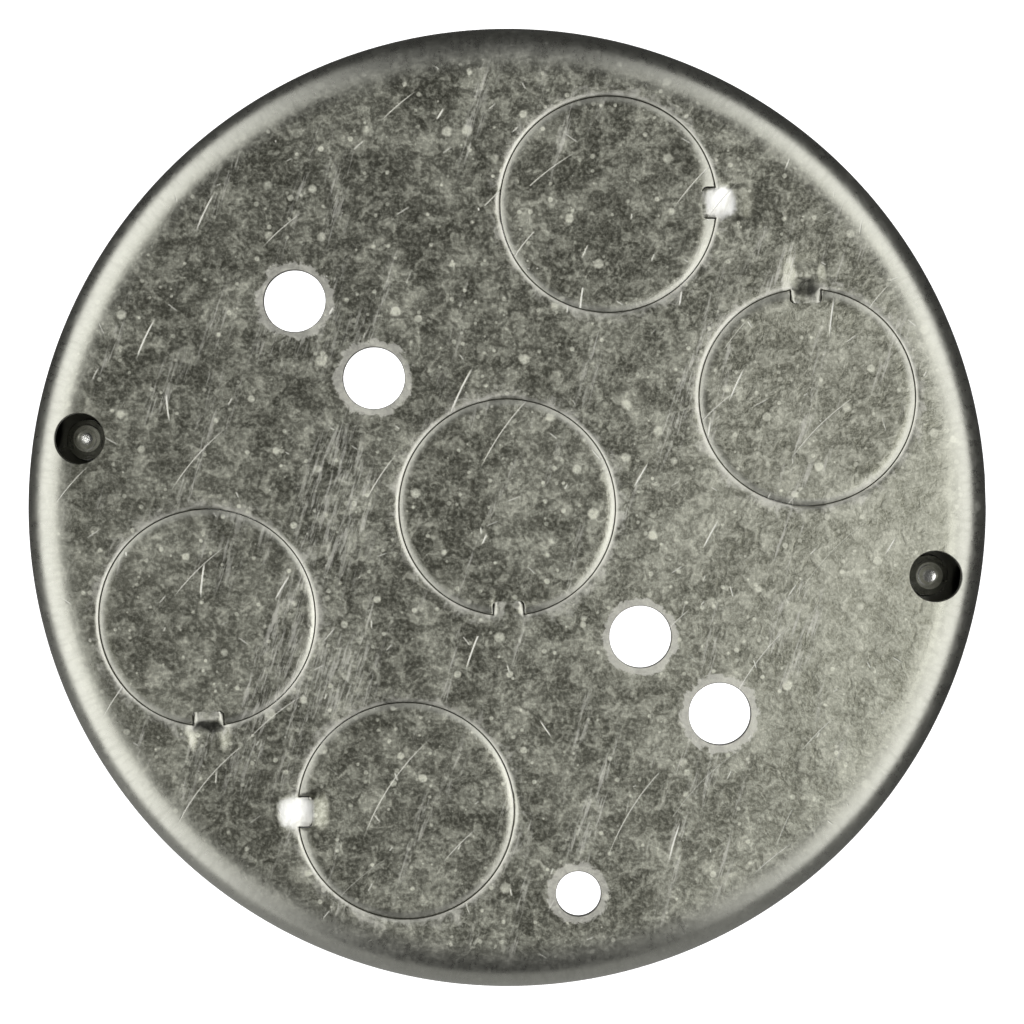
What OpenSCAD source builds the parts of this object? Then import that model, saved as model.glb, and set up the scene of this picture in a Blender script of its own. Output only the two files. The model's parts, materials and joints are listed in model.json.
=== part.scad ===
// Round steel ceiling box of the shallow "pancake" kind: one drawn pan with five pry-out knockouts,
// four mounting holes, a small screw hole, and two fixture screws in ears at the rim.
// The back's outer face lies at z = 0 with its normal up, and the mouth opens downwards.

/* [Pan] */
// Outside diameter
pan_d = 99; // [98:0.5:102]
// Depth from the back's outer face to the rim
pan_depth = 12.7; // [12.7:0.1:25.4]
// Thickness of the sheet steel
sheet_t = 1.6; // [1.4:0.1:1.8]
// Outside radius of the bend between the back and the wall
bend_r = 4.2; // [3:0.1:5]

/* [Knockouts] */
// Diameter of the opening that a knockout leaves
opening_d = 22.5; // [21.8:0.1:23]
// Gap between a knockout and its opening
knockout_gap = 0.15; // [0.12:0.01:0.2]
// Distance of the four outer knockouts from the centre
knockout_pitch_r = 32.8; // [32.4:0.1:33]
// Angle from the knockouts' line of symmetry to each outer knockout
knockout_spread = 25.7; // [25.5:0.1:27]
// Direction of the knockouts' line of symmetry
knockout_line = 45; // [42:1:48]
// Width of the tongue that holds a knockout
tongue_w = 3; // [2:0.1:3.5]
// How far the tongue reaches into the opening
tongue_l = 1.6; // [1:0.1:2]

/* [Mounting holes] */
// Diameter of the four mounting holes
mounting_d = 6.35; // [5:0.05:6.5]
// Spacing of the inner pair
inner_spacing = 38.1; // [37:0.1:39]
// Spacing of the outer pair
outer_spacing = 60.8; // [59:0.1:62]
// Diameter of the small screw hole
small_hole_d = 4.6; // [3.5:0.1:5]
// Distance of the small screw hole from the centre
small_hole_r = 40.3; // [39:0.1:41]
// Direction of the small screw hole
small_hole_angle = -80.4; // [-82:0.1:-79]

/* [Fixture screws] */
// Spacing of the two fixture screws
screw_spacing = 88.9; // [88.4:0.1:89.4]
// Direction of the right-hand fixture screw
screw_line = -10; // [-12:1:-8]
// Diameter over the threads
screw_d = 4.17; // [3.5:0.01:4.2]
// Length under the head
screw_l = 9.5; // [8:0.1:12]
// How far the head stands off the ear
head_stand_off = 4.1; // [0:0.1:5]
// Diameter of the head
head_d = 8.2; // [7:0.1:8.5]
// Height of the head
head_h = 2.6; // [2:0.1:3]
// Width of the slot and of the cross recess
slot_w = 1.1; // [0.8:0.1:1.3]

/* [Ears] */
// Width of the ear that a fixture screw runs in
ear_w = 9.5; // [9:0.1:12]
// Clearance on the radius between a screw and its ear
screw_clearance = 0.05; // [0.03:0.01:0.08]
// Diameter of the hole in the back over each screw
well_d = 5.2; // [4.8:0.1:5.6]

/* [Hidden] */
$fn = 96;

// How far a cutting shape runs past the face that it cuts
past = 1;
galvanized = [0.60, 0.60, 0.56];
zinc_plate = [0.70, 0.70, 0.67];

pan_r = pan_d / 2;
opening_r = opening_d / 2;
knockout_r = opening_r - knockout_gap;
screw_r = screw_d / 2;
screw_circle_r = screw_spacing / 2;
screw_left = screw_line + 180;
// Gap on each side of a tongue, and past its end
tongue_gap = 0.12;

// Each knockout: direction of its centre, distance of its centre, direction of its tongue
centre = [0, 0, -90];
top = [knockout_line + knockout_spread, knockout_pitch_r, 0];
right = [knockout_line - knockout_spread, knockout_pitch_r, 90];
left = [knockout_line - knockout_spread + 180, knockout_pitch_r, -90];
bottom = [knockout_line + knockout_spread + 180, knockout_pitch_r, 180];
KNOCKOUTS = [centre, top, right, left, bottom];

// Moves a child from the origin to a distance and a direction
module polar(angle, distance) {
    rotate([0, 0, angle]) translate([distance, 0, 0]) children();
}

// Places a child at a knockout's centre, with its +X along the tongue
module at_knockout(k) {
    polar(k[0], k[1]) rotate([0, 0, k[2] - k[0]]) children();
}

// A round hole through the back
module back_hole(r) {
    translate([0, 0, -bend_r - past]) cylinder(r = r, h = bend_r + 2 * past);
}

// Half of the pan's section, turned about the axis
module pan_section() {
    translate([0, -sheet_t]) square([pan_r - bend_r, sheet_t]);
    translate([pan_r - bend_r, -bend_r]) intersection() {
        difference() {
            circle(r = bend_r);
            circle(r = bend_r - sheet_t);
        }
        square(bend_r + past);
    }
    translate([pan_r - sheet_t, -pan_depth]) square([sheet_t, pan_depth - bend_r]);
}

// The strip, folded inwards at the rim, that a fixture screw is threaded through
module ear() {
    end_r = ear_w / 2;
    wall_r = pan_r - sheet_t / 2;
    translate([0, 0, -pan_depth]) intersection() {
        union() {
            translate([screw_circle_r, 0, 0]) cylinder(r = end_r, h = sheet_t);
            translate([screw_circle_r, -end_r, 0]) cube([wall_r - screw_circle_r, ear_w, sheet_t]);
        }
        rotate([0, 0, -screw_line]) cylinder(r = wall_r, h = sheet_t);
    }
}

// The bit of the back that a knockout hangs on until it is twisted off
module tongue() {
    end_x = opening_r - tongue_l;
    translate([end_x, -tongue_w / 2, -sheet_t]) cube([tongue_l + sheet_t / 2, tongue_w, sheet_t]);
}

module pan() {
    color(galvanized) {
        difference() {
            rotate_extrude() pan_section();
            for (k = KNOCKOUTS) at_knockout(k) back_hole(opening_r);
            for (spacing = [inner_spacing, outer_spacing], side = [1, -1])
                polar(knockout_line + 90 * side, spacing / 2) back_hole(mounting_d / 2);
            polar(small_hole_angle, small_hole_r) back_hole(small_hole_d / 2);
            for (angle = [screw_line, screw_left]) polar(angle, screw_circle_r) back_hole(well_d / 2);
        }
        for (k = KNOCKOUTS) at_knockout(k) tongue();
        for (angle = [screw_line, screw_left]) {
            difference() {
                rotate([0, 0, angle]) ear();
                polar(angle, screw_circle_r) translate([0, 0, -pan_depth - past])
                    cylinder(r = screw_r + screw_clearance, h = sheet_t + 2 * past);
            }
        }
    }
}

// A disc with a notch for its tongue
module knockout(k) {
    notch_x = opening_r - tongue_l - tongue_gap;
    notch_w = tongue_w + 2 * tongue_gap;
    color(galvanized) at_knockout(k) difference() {
        translate([0, 0, -sheet_t]) cylinder(r = knockout_r, h = sheet_t);
        translate([notch_x, -notch_w / 2, -sheet_t - past])
            cube([opening_r, notch_w, sheet_t + 2 * past]);
    }
}

// A pan-head screw, tip up, with a slot and a cross recess in its head
module fixture_screw(angle) {
    tip_chamfer = 0.8;
    seat_z = -pan_depth - head_stand_off;
    recess_d = 1.5;
    cross_l = 4.4;
    dome_h = head_h / 2;
    dome_r = (pow(head_d / 2, 2) + pow(dome_h, 2)) / (2 * dome_h);
    color(zinc_plate) polar(angle, screw_circle_r) translate([0, 0, seat_z]) {
        cylinder(r = screw_r, h = screw_l - tip_chamfer);
        translate([0, 0, screw_l - tip_chamfer])
            cylinder(r1 = screw_r, r2 = screw_r - tip_chamfer, h = tip_chamfer);
        difference() {
            union() {
                translate([0, 0, dome_h - head_h]) cylinder(d = head_d, h = head_h - dome_h);
                intersection() {
                    translate([0, 0, -head_h]) cylinder(d = head_d, h = dome_h);
                    translate([0, 0, dome_r - head_h]) sphere(r = dome_r);
                }
            }
            translate([-head_d / 2 - past, -slot_w / 2, -head_h - past])
                cube([head_d + 2 * past, slot_w, recess_d + past]);
            translate([-slot_w / 2, -cross_l / 2, -head_h - past])
                cube([slot_w, cross_l, recess_d + past]);
        }
    }
}

module knockout_centre() { knockout(centre); }
module knockout_top() { knockout(top); }
module knockout_right() { knockout(right); }
module knockout_left() { knockout(left); }
module knockout_bottom() { knockout(bottom); }
module fixture_screw_left() { fixture_screw(screw_left); }
module fixture_screw_right() { fixture_screw(screw_line); }

pan();
knockout_centre();
knockout_top();
knockout_right();
knockout_left();
knockout_bottom();
fixture_screw_left();
fixture_screw_right();
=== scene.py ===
# A round steel ceiling box, seen from its back: a drawn pan, five knockouts and two fixture screws,
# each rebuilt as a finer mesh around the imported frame, in metres.
import json
import math

import bpy
import numpy as np
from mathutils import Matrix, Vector
from mathutils.geometry import delaunay_2d_cdt


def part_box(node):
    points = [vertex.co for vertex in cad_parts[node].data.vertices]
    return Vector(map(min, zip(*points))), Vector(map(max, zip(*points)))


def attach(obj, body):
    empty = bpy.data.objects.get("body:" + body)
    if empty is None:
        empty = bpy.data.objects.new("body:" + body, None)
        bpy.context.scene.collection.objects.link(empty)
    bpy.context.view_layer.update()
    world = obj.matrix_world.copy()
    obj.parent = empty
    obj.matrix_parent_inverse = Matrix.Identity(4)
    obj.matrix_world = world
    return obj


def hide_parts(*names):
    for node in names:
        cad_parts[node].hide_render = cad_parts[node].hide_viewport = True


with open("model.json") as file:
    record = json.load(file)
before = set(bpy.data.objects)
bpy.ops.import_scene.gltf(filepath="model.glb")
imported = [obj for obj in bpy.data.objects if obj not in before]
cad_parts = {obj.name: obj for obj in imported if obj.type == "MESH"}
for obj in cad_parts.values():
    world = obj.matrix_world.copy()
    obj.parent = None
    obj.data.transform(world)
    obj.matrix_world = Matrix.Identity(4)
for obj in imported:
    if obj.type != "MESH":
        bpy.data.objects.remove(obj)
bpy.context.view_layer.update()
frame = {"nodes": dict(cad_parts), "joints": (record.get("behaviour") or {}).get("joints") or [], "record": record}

# ---------------------------------------------------------------- sizes, in millimetres

MM = 0.001
record = frame["record"]
joints = {j["name"]: j for j in frame["joints"]}
mounts = {m["name"]: m for m in record["mounts"]}
KNOCKOUTS = [n for n in frame["nodes"] if n.startswith("knockout")]
SCREWS = [n for n in frame["nodes"] if n.startswith("fixture_screw")]


def box_mm(node):
    """Lowest and highest corner of a CAD node, in millimetres."""
    low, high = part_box(node)
    return np.array(low) / MM, np.array(high) / MM


pan_low, pan_high = box_mm("pan")
PAN_R = (pan_high[0] - pan_low[0]) / 2
DEPTH = -pan_low[2]
SHEET = -box_mm("knockout_centre")[0][2]
BEND_R = 4.2
FOLD_R = SHEET + 0.8
OPENING_R = 11.25
# The pan's edge of the groove stands in a little from the opening, so that it shows as a fine line
LIP_R = 11.135
DISC_R = 11.1
TONGUE_L = 1.6
TONGUE_HALF_W = 1.57
TONGUE_CORNER = 0.45
# The gaps beside and past a tongue
SLIT = 0.07
TIP_GAP = 0.005
# Deep in the groove the two sheared walls all but touch
SHEAR_GAP = 0.004
HOLE_R = mounts["mounting_holes_outer"]["dims"]["hole_r_mm"]
HOLE_LINE = math.radians(135)
SMALL_HOLE_R = mounts["small_screw_hole"]["dims"]["r_mm"]
WELL_R = 2.6
EAR_HALF_W = 4.75
EAR_HOLE_R = 2.13
RELIEF_W = 1.0
SCREW_R = 2.083
THREAD_PITCH = 25.4 / 32
HEAD_H = 2.6
# The end of a screw, inside the chamfer that its thread runs out on
END_R = 1.17


def screw_place(node):
    """Angle and radius of a fixture screw's axis."""
    low, high = box_mm(node)
    x, y = (low + high)[:2] / 2
    return math.atan2(y, x), math.hypot(x, y)


def knockout_place(node):
    """Centre of a knockout, and the direction from it to its tongue."""
    joint = joints[node + "_pry"]
    axis = np.array(joint["axis"])
    out = np.array([-axis[1], axis[0]])
    hinge = np.array(joint["pos_m"][:2]) / MM
    return hinge - out * (OPENING_R - TONGUE_L), out


# ---------------------------------------------------------------- the drawn sheet, laid out flat

# A point of the pan's sheet is (s, angle): s runs along the outer surface from the centre, over the
# bend, down the wall and, at an ear, round the fold and back inwards.
S_BEND = PAN_R - BEND_R
S_WALL = S_BEND + BEND_R * math.pi / 2
S_RIM = S_WALL + DEPTH - BEND_R
S_FOLD = S_RIM - FOLD_R
S_EAR = S_FOLD + FOLD_R * math.pi / 2
EAR_HALF_ANGLE = math.asin(EAR_HALF_W / PAN_R)
RELIEF_ANGLE = RELIEF_W / PAN_R
EAR_ANGLES = [screw_place(n)[0] for n in SCREWS]
SCREW_CIRCLE_R = screw_place(SCREWS[0])[1]


def turn(angle):
    """An angle brought into -pi to pi."""
    return (angle + math.pi) % (2 * math.pi) - math.pi


def nearest_ear(angle):
    """For each angle: the nearest ear's angle, and how far round from it the angle is."""
    offsets = np.array([turn(angle - a) for a in EAR_ANGLES])
    which = np.abs(offsets).argmin(axis=0)
    return np.array(EAR_ANGLES)[which], np.take_along_axis(offsets, which[None], 0)[0]


def sheet_surface(flat):
    """Outer surface points and outward normals of flat layout points."""
    s = np.hypot(flat[:, 0], flat[:, 1])
    angle = np.arctan2(flat[:, 1], flat[:, 0])
    ear, off = nearest_ear(angle)
    tilt = np.clip((s - S_BEND) / BEND_R, 0, math.pi / 2)
    across = np.where(s < S_BEND, s, S_BEND + BEND_R * np.sin(tilt))
    z = BEND_R * (np.cos(tilt) - 1) - np.clip(s - S_WALL, 0, None)
    radial = np.stack([np.cos(angle), np.sin(angle)], 1)
    point = np.column_stack([radial * across[:, None], z])
    normal = np.column_stack([radial * np.sin(tilt)[:, None], np.cos(tilt)])
    on_ear = (s > S_FOLD) & (np.abs(off) < EAR_HALF_ANGLE + 1e-4)
    fold = np.clip((s - S_FOLD) / FOLD_R, 0, math.pi / 2)
    reach = FOLD_R * (1 - np.cos(fold)) + np.clip(s - S_EAR, 0, None)
    x = PAN_R * np.cos(off) - reach
    y = PAN_R * np.sin(off)
    ear_point = np.column_stack([
        x * np.cos(ear) - y * np.sin(ear), x * np.sin(ear) + y * np.cos(ear),
        -DEPTH + FOLD_R * (1 - np.sin(fold))])
    ear_normal = np.column_stack([radial * np.cos(fold)[:, None], -np.sin(fold)])
    pick = on_ear[:, None]
    return np.where(pick, ear_point, point), np.where(pick, ear_normal, normal)


def from_plan(x, y):
    """Layout points whose outer surface lies over plan points (x, y) of the back or the bend."""
    r, angle = np.hypot(x, y), np.arctan2(y, x)
    sine = np.clip((r - S_BEND) / BEND_R, 0, 1)
    s = np.where(r < S_BEND, r, S_BEND + BEND_R * np.arcsin(sine))
    return np.column_stack([s * np.cos(angle), s * np.sin(angle)])


def from_ear(ear, x, y):
    """Layout points whose outer surface lies at (x, y) of an ear's flat underside."""
    off = np.arcsin(y / PAN_R)
    s = S_EAR + PAN_R * np.cos(off) - FOLD_R - x
    return np.column_stack([s * np.cos(ear + off), s * np.sin(ear + off)])


def ring(count, r=1.0, start=0.0, stop=2 * math.pi):
    """Points of a circle, without the last one."""
    a = np.linspace(start, stop, count, endpoint=False)
    return np.column_stack([r * np.cos(a), r * np.sin(a)])


def outer_edge():
    """The layout's outline: the rim, with each ear's strip between two relief notches."""
    points = []
    steps = 12
    inner_s = S_FOLD - 0.3
    ears = sorted(a % (2 * math.pi) for a in EAR_ANGLES)
    edge_off = EAR_HALF_ANGLE + RELIEF_ANGLE

    def add(s, angle):
        points.append((s * math.cos(angle), s * math.sin(angle)))

    for i, ear in enumerate(ears):
        for off in np.linspace(-edge_off, -EAR_HALF_ANGLE, 4):
            add(inner_s, ear + off)
        for s in np.linspace(inner_s, S_EAR, steps)[1:]:
            add(s, ear - EAR_HALF_ANGLE)
        # the rounded end, concentric with the screw
        for turned in np.linspace(-math.pi / 2, math.pi / 2, 25):
            y = EAR_HALF_W * math.sin(turned)
            x = SCREW_CIRCLE_R - EAR_HALF_W * math.cos(turned)
            end = from_ear(ear, np.array([x]), np.array([y]))[0]
            points.append(tuple(end))
        for s in np.linspace(S_EAR, inner_s, steps)[:-1]:
            add(s, ear + EAR_HALF_ANGLE)
        for off in np.linspace(EAR_HALF_ANGLE, edge_off, 4):
            add(inner_s, ear + off)
        following = ears[(i + 1) % len(ears)] + (2 * math.pi if i + 1 == len(ears) else 0)
        for s in np.linspace(inner_s, S_RIM, 4)[1:-1]:
            add(s, ear + edge_off)
        span = following - ear - 2 * edge_off
        for angle in np.linspace(ear + edge_off, following - edge_off, int(span * 57)):
            add(S_RIM, angle)
        for s in np.linspace(S_RIM, inner_s, 4)[1:-1]:
            add(s, following - edge_off)
    return np.array(points)


ARC_POINTS = 150
# The segments of an opening's edge that run round the end of its tongue
TONGUE_END = slice(ARC_POINTS + 5, ARC_POINTS + 18)


def opening_edge(centre, out, r, half_w, reach, count=ARC_POINTS):
    """A round edge with a straight-sided tongue that points inwards from it."""
    side = np.array([-out[1], out[0]])
    gap = math.asin(half_w / r)
    root = r * math.cos(gap)
    local = [(r * math.cos(a), r * math.sin(a))
             for a in np.linspace(gap, 2 * math.pi - gap, count)]
    corner = TONGUE_CORNER
    tip = r - reach
    depth = np.linspace(root, tip + corner, 6)[1:]
    turned = np.linspace(0, math.pi / 2, 6)[1:]
    bend_x = tip + corner * (1 - np.sin(turned))
    bend_y = half_w - corner * (1 - np.cos(turned))
    local += [(x, -half_w) for x in depth]
    local += list(zip(bend_x, -bend_y))
    local += [(tip, y) for y in np.linspace(corner - half_w, half_w - corner, 11)[1:-1]]
    local += list(zip(bend_x[::-1], bend_y[::-1]))
    local += [(x, half_w) for x in depth[::-1]]
    local = np.array(local)
    return centre + local[:, :1] * out + local[:, 1:] * side


# ---------------------------------------------------------------- triangulated sheets

def edge_distance(points, loop, skip=slice(0, 0)):
    """Distance of each point from a closed loop of straight segments, less those skipped."""
    a = np.delete(loop, skip, axis=0)
    b = np.delete(np.roll(loop, -1, axis=0), skip, axis=0)
    d = b - a
    found = np.full(len(points), np.inf)
    near = np.hypot(*(points - loop.mean(0)).T) < np.hypot(*(loop - loop.mean(0)).T).max() + 8
    where = np.nonzero(near)[0]
    for part in np.array_split(where, max(1, len(where) // 2000)):
        p = points[part][:, None, :]
        t = np.clip(((p - a) * d).sum(2) / (d * d).sum(1), 0, 1)
        gap = p - (a + t[..., None] * d)
        found[part] = np.sqrt((gap * gap).sum(2).min(1))
    return found


def inside(points, loop):
    """Which points lie inside a closed loop."""
    low, high = loop.min(0), loop.max(0)
    maybe = np.nonzero(((points >= low) & (points <= high)).all(1))[0]
    a, b = loop, np.roll(loop, -1, axis=0)
    result = np.zeros(len(points), bool)
    for part in np.array_split(maybe, max(1, len(maybe) // 4000)):
        x, y = points[part, 0][:, None], points[part, 1][:, None]
        crosses = (a[:, 1] > y) != (b[:, 1] > y)
        rise = np.where(b[:, 1] == a[:, 1], 1e-12, b[:, 1] - a[:, 1])
        at = a[:, 0] + (y - a[:, 1]) * (b[:, 0] - a[:, 0]) / rise
        result[part] = (crosses & (x < at)).sum(1) % 2 == 1
    return result


# Distances in from an edge at which rows of points follow it
EDGE_STEPS = (0.03, 0.08, 0.15, 0.26, 0.42, 0.65, 0.95, 1.35)


def beside(loop, is_outline):
    """Rows of points that follow a loop on its solid side, closer together near it."""
    along = np.roll(loop, -1, axis=0) - np.roll(loop, 1, axis=0)
    away = np.column_stack([along[:, 1], -along[:, 0]])
    away /= np.maximum(np.hypot(*away.T), 1e-9)[:, None]
    probe = inside(loop + away * 0.01, loop).mean() > 0.5
    if probe != is_outline:
        away = -away
    rows = []
    for step in EDGE_STEPS:
        row = (loop + away * step)[:: 2 if step > 0.6 else 1]
        rows.append(row[edge_distance(row, loop) > step * 0.93])
    return np.vstack(rows)


def thinned(points, least):
    """The points, less any closer than least to one already kept."""
    cells, kept = {}, []
    for p in points:
        key = (int(p[0] // least), int(p[1] // least))
        close = False
        for i in (-1, 0, 1):
            for j in (-1, 0, 1):
                for q in cells.get((key[0] + i, key[1] + j), ()):
                    close = close or (p[0] - q[0]) ** 2 + (p[1] - q[1]) ** 2 < least * least
        if not close:
            cells.setdefault(key, []).append(p)
            kept.append(p)
    return np.array(kept)


def triangulate(outline, holes, fill):
    """Layout points and triangles that fill an outline around its holes."""
    loops = [outline, *holes]
    rows = [beside(outline, True)] + [beside(h, False) for h in holes]
    extra = np.vstack(rows)
    ok = inside(extra, outline)
    for h in holes:
        ok &= ~inside(extra, h)
    for loop in loops:
        ok &= edge_distance(extra, loop) > EDGE_STEPS[0] * 0.9
    extra = thinned(extra[ok], EDGE_STEPS[0] * 0.9)
    ok = inside(fill, outline)
    for h in holes:
        ok &= ~inside(fill, h)
    for loop in loops:
        ok &= edge_distance(fill, loop) > EDGE_STEPS[-1] + 0.2
    corners = np.vstack([*loops, extra, fill[ok]])
    edges, start = [], 0
    for loop in loops:
        n = len(loop)
        edges += [(start + i, start + (i + 1) % n) for i in range(n)]
        start += n
    made = delaunay_2d_cdt([Vector(c) for c in corners], edges, [], 0, 1e-6)
    points = np.array([(v.x, v.y) for v in made[0]])
    faces = np.array([f for f in made[2] if len(f) == 3])
    middle = points[faces].mean(1)
    keep = inside(middle, outline)
    for h in holes:
        keep &= ~inside(middle, h)
    faces = faces[keep]
    p = points[faces]
    u, v = p[:, 1] - p[:, 0], p[:, 2] - p[:, 0]
    area = u[:, 0] * v[:, 1] - u[:, 1] * v[:, 0]
    faces = faces[np.abs(area) > 1e-9]
    area = area[np.abs(area) > 1e-9]
    faces[area < 0] = faces[area < 0][:, ::-1]
    used = np.unique(faces)
    renumber = np.full(len(points), -1)
    renumber[used] = np.arange(len(used))
    return points[used], renumber[faces]


def hex_grid(radius, pitch):
    """Points of a triangular grid inside a circle."""
    rows = int(radius / (pitch * 0.866)) + 1
    columns = int(radius / pitch) + 1
    points = [((i + 0.5 * (j % 2)) * pitch, j * pitch * 0.866)
              for j in range(-rows, rows + 1) for i in range(-columns, columns + 1)]
    points = np.array(points)
    return points[np.hypot(*points.T) < radius]


def sheet_object(name, faces, top, bottom, values):
    """A closed sheet of metal from its two surfaces, with values kept for its material."""
    n = len(top)
    edges = np.vstack([faces[:, [0, 1]], faces[:, [1, 2]], faces[:, [2, 0]]])
    key = np.sort(edges, axis=1)
    _, first, counts = np.unique(key, axis=0, return_index=True, return_counts=True)
    rim = edges[first[counts == 1]]
    walls = [(j, i, i + n, j + n) for i, j in rim.tolist()]
    solid = [*map(tuple, faces.tolist()), *map(tuple, (faces[:, ::-1] + n).tolist()), *walls]
    mesh = bpy.data.meshes.new(name)
    mesh.from_pydata((np.vstack([top, bottom]) * MM).tolist(), [], solid)
    for key_name, value in values.items():
        attribute = mesh.attributes.new(key_name, "FLOAT", "POINT")
        # "inner", which also marks the painted shade on the ears, is for the inside face alone, and "pressed", the
        # painted highlight and shade of the pressings, for the outside
        outside = value * 0 if key_name == "inner" else value
        within = value * 0 if key_name == "pressed" else value
        attribute.data.foreach_set("value", np.concatenate([outside, within]).astype(np.float32))
    mesh.shade_smooth()
    mesh.set_sharp_from_angle(angle=math.radians(50))
    piece = bpy.data.objects.new(name, mesh)
    bpy.context.scene.collection.objects.link(piece)
    return piece


def rolled(distance, radius):
    """How far a rounded edge drops, at a distance in from it."""
    inner = np.clip(radius - distance, 0, radius)
    return radius - np.sqrt(np.maximum(radius ** 2 - inner ** 2, 0))


def smoothstep(low, high, x):
    t = np.clip((x - low) / (high - low), 0, 1)
    return t * t * (3 - 2 * t)


# ---------------------------------------------------------------- the pan and its knockouts

# For each knockout: the line of its tongue's pressing as (distance out from the groove, depth)
# turning points, its own sag, its tilt along and across the tongue's line in degrees, and how
# far it is bowed down on both sides of its tongue.
SETTING = {
    "knockout_centre": (((-2.6, 0), (-1.2, 0.09), (-0.2, 0.10), (1.1, 0)), 0.06, 0.25, -0.20, 0.1),
    "knockout_top": (((-1.3, 0), (1.75, 0.44), (4.2, 0)), 0.13, 0.45, 0.30, 0.9),
    "knockout_right": (((-1.1, 0), (0.9, 0.52), (3.6, 0)), 0.10, 0.30, 0.35, 0.2),
    "knockout_left": (((-0.75, 0), (0.40, 0.50), (3.2, 0)), 0.09, 0.35, -0.25, 0.0),
    "knockout_bottom": (((-3.6, 0), (-1.6, 0.62), (2.2, 0)), 0.11, -0.30, 0.40, 0.3),
}
# Two of the pressings get a painted highlight and two get painted shade in a crease: from and to, as distances
# out from the groove, then +1 for the painted highlight, or down to -1 for painted shade
PAINTED_PRESSING_LIGHT = {
    "knockout_top": (-1.15, 1.7, 1), "knockout_bottom": (-1.7, 1.7, 0.92),
    "knockout_right": (-0.9, 1.2, -0.7), "knockout_left": (-0.62, 0.62, -1),
}
# How far each side of a groove rolls down to it, and over what width
DISC_DIP, DISC_REACH = 0.17, 0.90
PAN_DIP, PAN_REACH = 0.11, 0.55
TONGUE_DIP, TONGUE_REACH = 0.28, 0.62
DISC_ROLL, PAN_ROLL, HOLE_ROLL, RIM_ROLL = 0.05, 0.11, 0.06, 0.18


def trough(node, u, v):
    """How far the metal is pressed in at (u, v) from a knockout's centre, u towards its tongue."""
    turning = SETTING[node][0]
    u = u - OPENING_R
    along = np.zeros(len(u))
    for (start, low), (stop, high) in zip(turning, turning[1:]):
        part = (u > start) & (u <= stop)
        along = np.where(part, low + (high - low) * smoothstep(start, stop, u), along)
    return along * (1 - smoothstep(1.2, 2.1, np.abs(v)))


def painted_light_share(node, u, v):
    """One over a pressing's painted highlight, minus one over a crease's painted shade, nought elsewhere."""
    if node not in PAINTED_PRESSING_LIGHT:
        return np.zeros(len(u))
    first, last, kind = PAINTED_PRESSING_LIGHT[node]
    u = u - OPENING_R
    across = np.abs(2 * u - first - last) / (last - first)
    away = (across ** 3 + (np.abs(v) / 1.5) ** 3) ** (1 / 3)
    return kind * np.clip(2 - 1.5 * away, 0, 1)


def troughs(points):
    """How far the pan's back is pressed in across all the tongues."""
    drop = np.zeros(len(points))
    for node in KNOCKOUTS:
        centre, out = knockout_place(node)
        side = np.array([-out[1], out[0]])
        drop += trough(node, (points - centre) @ out, (points - centre) @ side)
    return drop


def shoulder(distance, dip, reach):
    """A soft roll down towards an edge."""
    return dip * np.clip(1 - distance / reach, 0, 1) ** 2


def tip_share(u, v):
    """One over the place where a tongue runs on into its knockout, nought elsewhere."""
    tip = OPENING_R - TONGUE_L
    return smoothstep(1.45, 1.1, np.abs(v)) * smoothstep(1.0, 0.4, np.abs(u - tip))


def waves(points):
    """Slow unevenness of the stamped back, from nought down to about 0.07 mm."""
    x, y = points.T
    wave = np.sin(x / 7.3 + 0.8) * np.sin(y / 9.1 - 0.4) + 0.6 * np.sin(x / 4.1 - y / 5.7 + 2.0)
    return (wave + 1.6) * 0.02


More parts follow.
